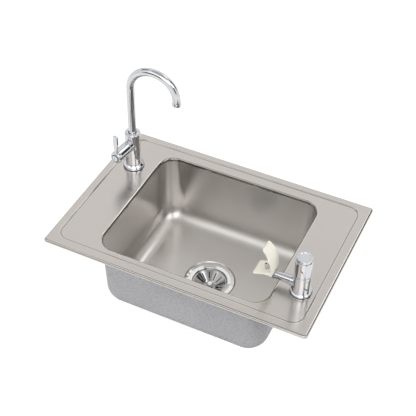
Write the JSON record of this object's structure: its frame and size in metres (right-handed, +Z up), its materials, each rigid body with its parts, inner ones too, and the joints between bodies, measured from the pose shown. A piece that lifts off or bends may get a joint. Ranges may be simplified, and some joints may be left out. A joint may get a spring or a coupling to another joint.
{
  "type": "drop-in classroom sink",
  "caption": "Drop-in stainless classroom sink: sunken deck, gooseneck tap with side lever, push-button bubbler with mouth guard and lift-out strainer basket.",
  "frame": {"origin": "middle of the rim's outline, on the plane of the counter top that the turned-down lip rests on", "axes": "+X from the tap side to the bubbler side, +Y to the back, +Z up"},
  "size_m": [0.635, 0.4318, 0.614],
  "materials": {
    "satin_steel": "satin, fine straight grain",
    "sound_coat": "matte, finely speckled sprayed coat",
    "polished_steel": "polished",
    "spring_steel": "plain drawn wire and pressed washers",
    "chrome": "bright plated, mirror",
    "brass": "plain machined",
    "black_rubber": "matte moulded",
    "white_plastic": "moulded",
    "ceramic": "lapped ceramic",
    "ivory_guard": "satin moulded elastomer"
  },
  "bodies": {
    "sink": {"sink_shell": "satin_steel", "clip_rail_front": "satin_steel", "clip_rail_right": "satin_steel", "clip_rail_back": "satin_steel", "clip_rail_left": "satin_steel", "bowl_sound_coat": "sound_coat", "drain_body": "polished_steel", "drain_cross_bar": "polished_steel", "tailpiece": "polished_steel", "return_spring": "spring_steel", "tap_washer": "spring_steel", "bubbler_washer": "spring_steel", "tap_base_ring": "chrome", "tap_body": "chrome", "spout_collar": "chrome", "valve_bonnet": "chrome", "bubbler_base_ring": "chrome", "bubbler_body": "chrome", "bubbler_sleeve": "chrome", "arm_nut": "chrome", "bubbler_arm": "chrome", "bubbler_head": "chrome", "bubbler_nozzle": "chrome", "drain_lock_nut": "brass", "tailpiece_nut": "brass", "tap_lock_nut": "brass", "tap_shank": "brass", "bubbler_lock_nut": "brass", "bubbler_shank": "brass", "bubbler_gland": "brass", "bubbler_valve_seat": "brass", "drain_gasket": "black_rubber", "tap_gasket": "black_rubber", "bubbler_gasket": "black_rubber", "cartridge_seal": "black_rubber", "tailpiece_washer": "white_plastic", "drain_friction_ring": "white_plastic", "spout_bush": "white_plastic", "valve_cartridge": "white_plastic", "ceramic_disc_fixed": "ceramic", "mouth_guard": "ivory_guard"},
    "spout": {"tap_spout": "chrome", "spout_ferrule": "brass", "spout_seals": "black_rubber", "aerator_shell": "chrome", "aerator_insert": "white_plastic"},
    "handle": {"valve_stem": "brass", "ceramic_disc_turning": "ceramic", "tap_handle": "chrome", "tap_lever": "chrome", "handle_screw": "spring_steel", "handle_cap": "chrome"},
    "button": {"push_button": "chrome", "button_stem": "brass", "plunger_washer": "black_rubber", "plunger_nut": "brass"},
    "basket": {"strainer_basket": "polished_steel", "basket_stopper": "black_rubber", "basket_stem": "polished_steel", "basket_knob": "polished_steel"}
  },
  "joints": [
    {"name": "spout_swivel", "type": "hinge", "parent": "sink", "child": "spout", "pos_m": [-0.258, 0.1, 0.1], "axis": [0, 0, 1], "continuous": true},
    {"name": "handle_turn", "type": "hinge", "parent": "sink", "child": "handle", "pos_m": [-0.258, 0.1, 0.0748], "axis": [0.1305, 0.9914, 0], "range_deg": [0, 90]},
    {"name": "button_press", "type": "slide", "parent": "sink", "child": "button", "axis": [0, 0, -1], "range_m": [0, 0.006], "stiffness_N_per_m": 1500, "springref_m": -0.004, "deforming": ["return_spring"]},
    {"name": "basket_lift", "type": "slide", "parent": "sink", "child": "basket", "axis": [0, 0, 1], "range_m": [0, 0.26]}
  ]
}
